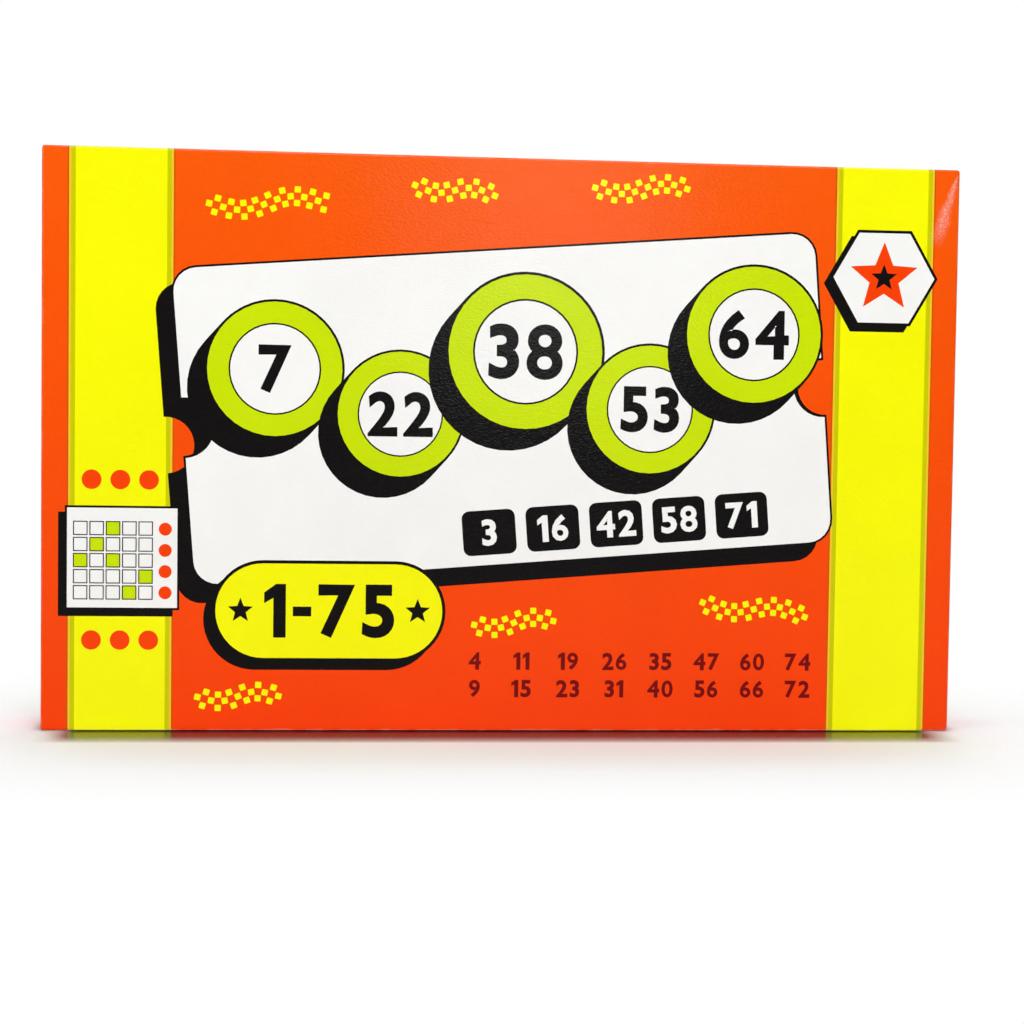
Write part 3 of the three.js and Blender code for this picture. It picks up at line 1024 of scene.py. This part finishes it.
class PrintTally(bpy.types.Operator):
    """Prints the tally board's sheet: seventy-five numbered places in five rows"""

    bl_idname = "bingo.print_tally"
    bl_label = "Print tally board"

    def execute(self, context):
        settings = context.scene.bingo
        inks, line = settings.inks, mm(settings.contents.grid_line)
        low, high = extent("tally_board_sheet")
        width, thickness, height = high - low
        sheet = Print(inks.white, rounded(0, 0, width, height, 3))
        sheet.ink(inks.orange, rounded(0, 0, width - 8, height - 8, 4))
        sheet.ink(inks.white, rounded(0, 0, width - 14, height - 14, 3))
        figures, tones = Figures(3), head_tones(inks)
        across, up, cream = 24, 39, colour(255, 250, 214)
        left, top = -width / 2 + 42, height / 2 - 28
        for row, tone in enumerate(tones):
            x, y = left - 17, top - up * (row + 0.5)
            sheet.discs(x, y, (13, inks.black, 32), (12.2, tone, 32))
            sheet.ink(inks.white, star(x, y, 7.5, 3.2))
            for column in range(HEAD_NUMBERS):
                x = left + across * (column + 0.5)
                ground = inks.white if (row + column) % 2 else cream
                sheet.framed(x, y, across + line, up + line, line, inks.black, ground)
                number = str(row * HEAD_NUMBERS + column + 1)
                sheet.ink(inks.black, *figures.write(number, x, y, 10.5))
        for i in range(21):
            for y in (top + 12, top - GRID * up - 11):
                sheet.discs(-width / 2 + 26 + 18 * i, y, (3.4, tones[i % GRID], 20))
        material, plain = matt_print_finish("tally_paper", 0.4), tuple(inks.white)
        piece = flat_leaf(
            "tally_print", sheet, "tally_board_sheet", [(thickness, plain)], plain, material)
        stand_for(piece, "tally", "tally_board_sheet")
        return {"FINISHED"}


class PrintCards(bpy.types.Operator):
    """Prints thirty bingo cards, each with its own numbers"""

    bl_idname = "bingo.print_cards"
    bl_label = "Print cards"

    def execute(self, context):
        settings = context.scene.bingo
        figures, material = Figures(3), matt_print_finish("white_card", 0.5)
        draw, stacked = random.Random(1975), random.Random(30)
        liner, slip = mm(settings.contents.card_liner), mm(settings.contents.card_slip)
        white, grey = colour(244, 241, 232), colour(176, 164, 142)
        for number in range(1, CARDS + 1):
            node = f"bingo_card_{number:02d}"
            low, high = extent(node)
            width, thickness, height = high - low
            sheet = self.card(settings, figures, draw, width, height)
            layers = [(liner, white), (thickness - liner, grey), (thickness, white)]
            piece = flat_leaf(f"printed_card_{number:02d}", sheet, node, layers,
                              colour(236, 232, 222), material, stacked.uniform(-slip, slip))
            body = "left_cards" if number <= CARDS / 2 else "right_cards"
            stand_for(piece, body, node)
        return {"FINISHED"}

    def card(self, settings, figures, draw, width, height):
        """A card's print: five columns of numbers under coloured heads, a star in the middle."""
        inks, line = settings.inks, mm(settings.contents.grid_line)
        tall_figures = mm(settings.contents.card_figures)
        sheet = Print(inks.white, rounded(0, 0, width, height, 5, 0, 4))
        sheet.ink(inks.orange, rounded(0, 0, width - 8, height - 8, 4, 0, 4))
        sheet.ink(inks.yellow, oblong(0, 100, 160, 32))
        across, up = 32, 39
        for column, tone in enumerate(head_tones(inks)):
            x = -64 + across * column
            sheet.discs(x, 100, (12.8, inks.black, 28), (12, tone, 28), (5.5, inks.white, 20))
            first = column * HEAD_NUMBERS + 1
            numbers = draw.sample(range(first, first + HEAD_NUMBERS), GRID)
            for row in range(GRID):
                y = 61.5 - up * row
                sheet.framed(x, y, across, up, line / 2, inks.black, inks.white)
                if row == column == 2:
                    sheet.ink(inks.orange, star(x, y, 13, 5.4))
                else:
                    sheet.ink(inks.black, *figures.write(str(numbers[row]), x, y, tall_figures))
        return sheet


# Folded channel and moulded tray

def prism(name, profile, low, high):
    """A closed solid that stands on a flat profile, from one height to another."""
    body = bmesh.new()
    body.faces.new([body.verts.new((x * MM, y * MM, low * MM)) for x, y in profile])
    made = bmesh.ops.extrude_face_region(body, geom=body.faces[:])
    tops = [part for part in made["geom"] if isinstance(part, bmesh.types.BMVert)]
    bmesh.ops.translate(body, verts=tops, vec=(0, 0, (high - low) * MM))
    return shown(name, poured(name, body))


def cut_away(piece, cutters):
    """Cuts the cutters out of the piece, and removes them."""
    for cutter in cutters:
        cut = piece.modifiers.new("cut", "BOOLEAN")
        cut.operation, cut.solver, cut.object = "DIFFERENCE", "EXACT", cutter
    settle(piece)
    for cutter in cutters:
        bpy.data.objects.remove(cutter)


def soften(piece, width, material):
    """Rounds the sharp edges a little and shades the round ones smooth."""
    bevel = piece.modifiers.new("soften", "BEVEL")
    bevel.width, bevel.segments, bevel.limit_method = width * MM, 2, "ANGLE"
    bevel.angle_limit, bevel.harden_normals = math.radians(35), False
    settle(piece)
    smooth(piece.data, 35)
    dress(piece.data, material)


class FoldChannel(bpy.types.Operator):
    """Folds the card channel that parts the two stacks of cards"""

    bl_idname = "bingo.fold_channel"
    bl_label = "Fold channel"

    def execute(self, context):
        contents = context.scene.bingo.contents
        low, high = extent("divider_channel")
        card, bend = mm(contents.channel_card), mm(contents.channel_bend)
        outside, inside, far = high.x, high.x - card, bend + card
        profile = [(-outside, low.y), (-inside, low.y)]
        for x, start in ((-inside + bend, math.pi), (inside - bend, QUARTER)):
            profile += arc(x, high.y - far, bend, start, -QUARTER, 5)
        profile += [(inside, low.y), (outside, low.y)]
        for x, start in ((outside - far, 0), (far - outside, QUARTER)):
            profile += arc(x, high.y - far, far, start, QUARTER, 6)
        piece = prism("card_channel", profile, low.z, high.z)
        notch = prism("notch", disc(0, 0, mm(contents.notch_radius), 64), -outside - 2, outside + 2)
        middle = Vector((0, low.y, (low.z + high.z) / 2)) * MM
        notch.data.transform(Matrix.Translation(middle) @ Matrix.Rotation(QUARTER, 4, "Y"))
        cut_away(piece, [notch])
        soften(piece, 0.12, fibre_finish(
            "channel_card", (246, 244, 236), (226, 222, 208), 0.6, 0.015, 0.12))
        stand_for(piece, "base", "divider_channel")
        return {"FINISHED"}


class MouldTray(bpy.types.Operator):
    """Moulds the tray with its pockets for chips and its trough for markers"""

    bl_idname = "bingo.mould_tray"
    bl_label = "Mould tray"

    def execute(self, context):
        contents = context.scene.bingo.contents
        low, high = extent("chip_tray")
        radius, wall = mm(contents.trough_radius), mm(contents.tray_wall)
        end, half = mm(contents.end_wall), mm(contents.trough_spacing) / 2
        over = 5  # How far a cutter reaches past what it cuts
        centre_y = low.y + mm(contents.trough_lead)
        length = high.z - low.z - 2 * end
        piece = prism("moulded_tray", rectangle(low.x, low.y, high.x, high.y), low.z, high.z)

        def trough(x, size, near, start, span):
            profile = [(x - size, near), (x + size, near)] + arc(x, centre_y, size, 0, math.pi, 40)
            return prism("trough", profile, start, start + span)

        hollow = prism(
            "hollow", rectangle(low.x + wall, low.y + wall, high.x - wall, high.y + over),
            low.z + end, high.z - end)
        cut_away(hollow, [trough(x, radius + wall, low.y, low.z - over, length + 4 * over)
                          for x in (-half, half)])
        cutters = [hollow, trough(half, radius, low.y - over, low.z + end, length)]
        count = contents.pockets
        pocket = (length - (count - 1) * end) / count
        for i in range(count):
            start = low.z + end + i * (pocket + end)
            cutters.append(trough(-half, radius, low.y - over, start, pocket))
        cut_away(piece, cutters)
        # The tray's lighter second tone is its painted sheen
        soften(piece, 0.3, moulded_finish("tray_plastic", (44, 44, 47), (64, 64, 68), 0.02, 0.3))
        stand_for(piece, "tray", "chip_tray")
        return {"FINISHED"}


# Rolls of chips and markers

CHIP_HALF = ((None, 0.3), (2.6, 0.3), (2.3, 0.08), (1.3, 0.08), (0.5, 0.42), (0.2, 0.9))
CHIP = CHIP_HALF + tuple((inset, -height) for inset, height in reversed(CHIP_HALF))
MARKER = ((None, 0.1), (1.2, 0.05), (0.25, 0.3), (0.2, 0.9),
          (0.35, -0.35), (1.2, -0.05), (None, -0.1))


def lathe(name, shape, radius, thickness, sides):
    """A closed disc turned round Z.

    Its shape is (inset from the rim, height) points, with heights below 0 counted from the top,
    and no inset on the axis.
    """
    body = bmesh.new()
    rings = []
    for inset, height in shape:
        z = (height if height > 0 else thickness + height) * MM
        if inset is None:
            rings.append([body.verts.new((0, 0, z))] * sides)
            continue
        turns = [2 * math.pi * i / sides for i in range(sides)]
        reach = (radius - inset) * MM
        rings.append([body.verts.new((reach * math.cos(a), reach * math.sin(a), z)) for a in turns])
    for lower, upper in zip(rings, rings[1:]):
        for i in range(sides):
            j = (i + 1) % sides
            body.faces.new(list(dict.fromkeys((lower[i], lower[j], upper[j], upper[i]))))
    mesh = poured(name, body)
    smooth(mesh, 30)
    return mesh


def roll_tree():
    """Geometry nodes that set discs in a row, each a little off the line, and join them."""
    tree = bpy.data.node_groups.new("roll_of_discs", "GeometryNodeTree")
    kinds = {"Disc": "Object", "Count": "Int", "Pitch": "Float", "Jostle": "Float",
             "Start": "Vector", "Seed": "Int", "Finish": "Material"}
    for name, kind in kinds.items():
        tree.interface.new_socket(name, in_out="INPUT", socket_type="NodeSocket" + kind)
    tree.interface.new_socket("Roll", in_out="OUTPUT", socket_type="NodeSocketGeometry")
    nodes = Nodes(tree)
    sockets = nodes.node("NodeGroupInput").socket.node.outputs
    given = {name: Value(nodes, sockets[name]) for name in kinds}
    pitch = nodes.node("CombineXYZ", inputs={"Z": given["Pitch"]})
    line = nodes.node("GeometryNodeMeshLine", {"mode": "OFFSET"}, {
        "Count": given["Count"], "Start Location": given["Start"], "Offset": pitch})
    against, ahead = [nodes.node("VectorMath", {"operation": "MULTIPLY"}, {
        0: given["Jostle"], 1: (sign, sign, 0)}) for sign in (-1, 1)]
    shift, turn = [nodes.node("FunctionNodeRandomValue", {"data_type": "FLOAT_VECTOR"}, {
        "Min": least, "Max": most, "Seed": given["Seed"]})
        for least, most in ((against, ahead), ((0, 0, 0), (0, 0, 2 * math.pi)))]
    places = nodes.node("GeometryNodeSetPosition", inputs={"Geometry": line, "Offset": shift})
    shape = nodes.node("GeometryNodeObjectInfo", {"transform_space": "ORIGINAL"}, {
        "Object": given["Disc"]}, "Geometry")
    row = nodes.node("GeometryNodeInstanceOnPoints", inputs={
        "Points": places, "Instance": shape, "Rotation": turn})
    real = nodes.node("GeometryNodeRealizeInstances", inputs={0: row})
    finished = nodes.node("GeometryNodeSetMaterial", inputs={
        "Geometry": real, "Material": given["Finish"]})
    nodes.node("NodeGroupOutput", inputs={0: finished})
    return tree


def roll(name, tree, contents, node, shape, sides, seed, finish):
    """A roll of like discs that fills the node's box, and its start and pitch in millimetres."""
    low, high = extent(node)
    start = Vector(((low.x + high.x) / 2, (low.y + high.y) / 2, low.z))
    pitch = (high.z - low.z) / contents.discs
    pattern = shown("disc", lathe("disc", shape, (high.y - low.y) / 2, pitch, sides))
    piece = shown(name, bpy.data.meshes.new(name))
    nodes = piece.modifiers.new("roll", "NODES")
    nodes.node_group = tree
    values = {"Disc": pattern, "Count": contents.discs, "Pitch": pitch * MM, "Seed": seed,
              "Jostle": contents.jostle, "Start": start * MM, "Finish": finish}
    for item in tree.interface.items_tree:
        if item.in_out == "INPUT":
            nodes[item.identifier] = values[item.name]
    settle(piece)
    bpy.data.objects.remove(pattern)
    return piece, start, pitch


def raised(loops, low, high):
    """Points and faces of figures that stand on a flat face, from their outlines."""
    sheet = Print(False, disc(0, 0, 40, 12))
    sheet.ink(True, *loops)
    kept = [corners for corners, stands in sheet.pressed() if stands]
    index, rim, faces = {}, {}, []
    for corners in kept:
        for corner in corners:
            index.setdefault((round(corner.x, 4), round(corner.y, 4)), (len(index), corner))
    count = len(index)
    for corners in kept:
        ids = [index[(round(c.x, 4), round(c.y, 4))][0] for c in corners]
        faces += [[i + count for i in ids], ids[::-1]]
        rim.update(dict.fromkeys(zip(ids, ids[1:] + ids[:1])))
    faces += [[a, b, b + count, a + count] for a, b in rim if (b, a) not in rim]
    return [Vector((*corner, z)) for z in (low, high) for _, corner in index.values()], faces


def add_numbers(piece, figures, first, count, pitch, start, ink):
    """Raised numbers on both faces of each chip of a roll."""
    height, sunk, proud, inset, turn = 7.5, -0.22, 0.02, 0.1, 2.4
    body = bmesh.new()
    body.from_mesh(piece.data)
    piece.data.materials.append(ink)
    for place in range(count):
        points, faces = raised(figures.write(str(first + place), 0, 0, height), sunk, proud)
        for turned_over, lift in ((False, pitch - inset), (True, inset)):
            move = (Matrix.Translation(start + Vector((0, 0, place * pitch + lift)))
                    @ Matrix.Rotation(turned_over * math.pi, 4, "X")
                    @ Matrix.Rotation(place * turn, 4, "Z"))
            verts = [body.verts.new((move @ point) * MM) for point in points]
            for face in faces:
                body.faces.new([verts[i] for i in face]).material_index = 1
    body.to_mesh(piece.data)
    body.free()


class MouldChips(bpy.types.Operator):
    """Moulds seventy-five numbered chips in five rolls"""

    bl_idname = "bingo.mould_chips"
    bl_label = "Mould chips"

    def execute(self, context):
        contents = context.scene.bingo.contents
        tree, figures, count = roll_tree(), Figures(1), contents.discs
        # Each finish's lighter second tone is its painted sheen
        plastic = moulded_finish("chip_plastic", (238, 231, 208), (250, 246, 230), 0.01, 0.28)
        black = moulded_finish("chip_ink", (20, 18, 18), (44, 40, 40), 0.01, 0.4, specular=0.4)
        for seed, letter in enumerate("bingo"):
            node = f"calling_chips_{letter}"
            piece, start, pitch = roll(
                f"chips_{seed + 1}", tree, contents, node, CHIP, 40, seed, plastic)
            add_numbers(piece, figures, seed * count + 1, count, pitch, start, black)
            stand_for(piece, "chips", node)
        return {"FINISHED"}


class MouldMarkers(bpy.types.Operator):
    """Moulds seventy-five clear covering markers in five colours"""

    bl_idname = "bingo.mould_markers"
    bl_label = "Mould markers"

    def execute(self, context):
        tree = roll_tree()
        tones = ((216, 30, 38), (244, 176, 8), (30, 160, 74), (26, 94, 200), (140, 56, 178))
        for number, tone in enumerate(tones, 1):
            node, slot = f"covering_markers_{number}", f"marker_plastic_{number}"
            # A lighter copy of the marker's colour, for its painted sheen
            lit = [min(255, part + 26) for part in tone]
            plastic = moulded_finish(slot, tone, lit, 0.004, 0.1, clear=0.55, bend=1.49)
            piece, _, _ = roll(f"markers_{number}", tree, context.scene.bingo.contents, node,
                               MARKER, 32, 40 + number, plastic)
            stand_for(piece, "markers", node)
        return {"FINISHED"}


# Stage

class SetStage(bpy.types.Operator):
    """Sets the camera, the soft lamps, the room light and the floor"""

    bl_idname = "bingo.set_stage"
    bl_label = "Set stage"

    def execute(self, context):
        scene, stage = context.scene, context.scene.bingo.stage
        right_power = stage.fill_power * stage.right_share
        scene.view_settings.view_transform = "Standard"
        camera = bpy.data.cameras.new("camera")
        camera.lens, camera.sensor_width = stage.lens, 36
        scene.camera = shown("camera", camera)
        scene.camera.location = stage.camera_place
        scene.camera.rotation_euler = stage.camera_turn
        # Where each lamp stands, what it points at, its size and its power
        for name, place, target, size, power in (
                ("main_lamp", (0.15, -1.5, 1.75), (0, 0, 0.1), 1.3, stage.key_power),
                ("left_lamp", (-1.7, -1.1, 0.7), (0, 0, 0.12), 1, stage.fill_power),
                ("right_lamp", (1.7, -0.6, 0.9), (0, 0, 0.12), 1, right_power),
                ("back_lamp", (0.3, 2.1, 1.5), (0, 0, 0.12), 1.5, stage.back_power),
                ("glare_lamp", (0.18, -1.75, 0.56), (0.02, 0, 0.25), 0.4, stage.glare_power)):
            light = bpy.data.lights.new(name, "AREA")
            light.shape, light.size, light.energy = "SQUARE", size, power
            lamp = shown(name, light)
            lamp.location = place
            aim = Vector(target) - Vector(place)
            lamp.rotation_euler = aim.to_track_quat("-Z", "Y").to_euler()
        scene.world = self.room(stage)
        self.floor(stage)
        return {"FINISHED"}

    def room(self, stage):
        """Light that is stronger from above and weaker from the right, and white behind the box."""
        world = bpy.data.worlds.new("room")
        world.use_nodes = True
        room = Nodes(world.node_tree)
        heading = room.node("TexCoord", output="Generated")
        right, _, up = [Value(room, socket) for socket in
                        room.node("SeparateXYZ", inputs={"Vector": heading}).socket.node.outputs]
        rise = stage.high_light - stage.low_light
        strength = room.step(up, 0.1, 0.9) * rise + stage.low_light
        strength = strength * (room.step(right, 0.8, 0.3) * 0.85 + 0.15)
        light, white = [room.node("Background", inputs={"Color": WHITE, "Strength": power})
                        for power in (strength, 1)]
        seen = room.node("LightPath", output="Is Camera Ray")
        mixed = room.node("MixShader", inputs={0: seen, 1: light, 2: white})
        room.node("OutputWorld", inputs={"Surface": mixed})
        return world

    def floor(self, stage):
        """A matt pale floor with a painted shadow where something stands on it, dark and mirroring
        there, and painted dark where the box's gloss reflects it.
        """
        mesh = bpy.data.meshes.new("floor")
        mesh.from_pydata([(*corner, 0) for corner in rectangle(-4, -4, 4, 4)], [], [range(4)])
        finish = Finish("floor_finish", {"Specular IOR Level": 0, "Roughness": 0.6})
        cloud = finish.noise(2.5)
        finish.feed("Base Color", finish.blend(tuple(stage.floor_colour), (1, 1, 1), cloud * 0.2))
        # A dark mirror, whose reflection is real and whose dark ground is painted shadow, and a
        # dark matt painted shadow
        mirror, painted_shadow = [finish.node("BsdfPrincipled", inputs={
            "Base Color": (*tone, 1), "Roughness": roughness, "Specular IOR Level": specular})
            for tone, roughness, specular in (
                ((0.03, 0.03, 0.03), 0.14, 0.16), ((0.01, 0.004, 0.003), 0.6, 0))]
        reach = mm(stage.contact_reach) * MM
        backward = finish.node("CombineXYZ", inputs={"Y": 1})
        # How open the floor is towards the back, close all round, and far all round
        ahead, around, wide = [
            finish.node("AmbientOcclusion", {"samples": count}, {"Distance": far, **way}, "AO")
            for count, far, way in (
                (16, reach, {"Normal": backward}), (16, reach * 0.3, {}), (8, reach * 5, {}))]
        grazing = finish.node("LayerWeight", output="Facing")
        box_end, fade_length = CAD_BOX[1][0] / MM, 18
        beside = finish.step(abs(finish.axes()[0]), box_end, box_end - fade_length)
        # Painted shadow: a band in front of the box at grazing views and a contact shadow all round
        painted_shadow_band = finish.step(ahead, 0.975, 0.9) * 0.55 + finish.step(ahead, 0.9, 0.6) * 0.45
        painted_shadow_band = painted_shadow_band * beside * finish.step(grazing, 0.55, 0.8)
        painted_contact_shadow = painted_shadow_band.larger(finish.step(around, 0.95, 0.5) * 0.45)
        seen = finish.node("LightPath", output="Is Camera Ray")
        glossy = finish.node("LightPath", output="Is Glossy Ray")
        shade = finish.node("MixShader", inputs={
            0: finish.step(around, 0.95, 0.6) * 0.8, 1: mirror, 2: painted_shadow})
        # Camera rays see the painted shadow; glossy rays see the floor painted dark
        painted_shade_share = (painted_contact_shadow * seen).larger(glossy * 0.8)
        lit = finish.node("MixShader", inputs={0: painted_shade_share, 1: finish.shader, 2: shade})
        glow = finish.node("Emission", inputs={"Color": WHITE, "Strength": 1})
        open_share = finish.step(wide, 0.72, 0.97) * seen
        dress(mesh, finish.done(finish.node("MixShader", inputs={0: open_share, 1: lit, 2: glow})))
        shown("floor", mesh)


class BingoPanel(bpy.types.Panel):
    """Lists the pieces of the boxed bingo game and their settings"""

    bl_idname = "VIEW3D_PT_bingo"
    bl_label = "Boxed bingo game"
    bl_space_type = "VIEW_3D"
    bl_region_type = "UI"
    bl_category = "Bingo"

    def draw(self, context):
        settings = context.scene.bingo
        for operator in OPERATORS:
            self.layout.operator(operator.bl_idname)
        for group in (settings.inks, settings.box, settings.contents, settings.stage):
            column = self.layout.box().column()
            for name in type(group).__annotations__:
                column.prop(group, name)


OPERATORS = (SetStage, FinishBoards, WrapBase, WrapLid, PrintTally, PrintCards, FoldChannel,
             MouldTray, MouldChips, MouldMarkers)
CLASSES = (BingoInks, BingoBox, BingoContents, BingoStage, BingoSettings, *OPERATORS, BingoPanel)


def register():
    for cls in CLASSES:
        bpy.utils.register_class(cls)
    bpy.types.Scene.bingo = bpy.props.PointerProperty(
        type=BingoSettings, name="Bingo", description="Settings of the boxed bingo game")


def unregister():
    del bpy.types.Scene.bingo
    for cls in reversed(CLASSES):
        bpy.utils.unregister_class(cls)


def main():
    register()
    bpy.ops.bingo.set_stage()
    bpy.ops.bingo.finish_boards()
    bpy.ops.bingo.wrap_base()
    bpy.ops.bingo.wrap_lid()
    bpy.ops.bingo.print_tally()
    bpy.ops.bingo.print_cards()
    bpy.ops.bingo.fold_channel()
    bpy.ops.bingo.mould_tray()
    bpy.ops.bingo.mould_chips()
    bpy.ops.bingo.mould_markers()


if __name__ == "__main__":
    main()
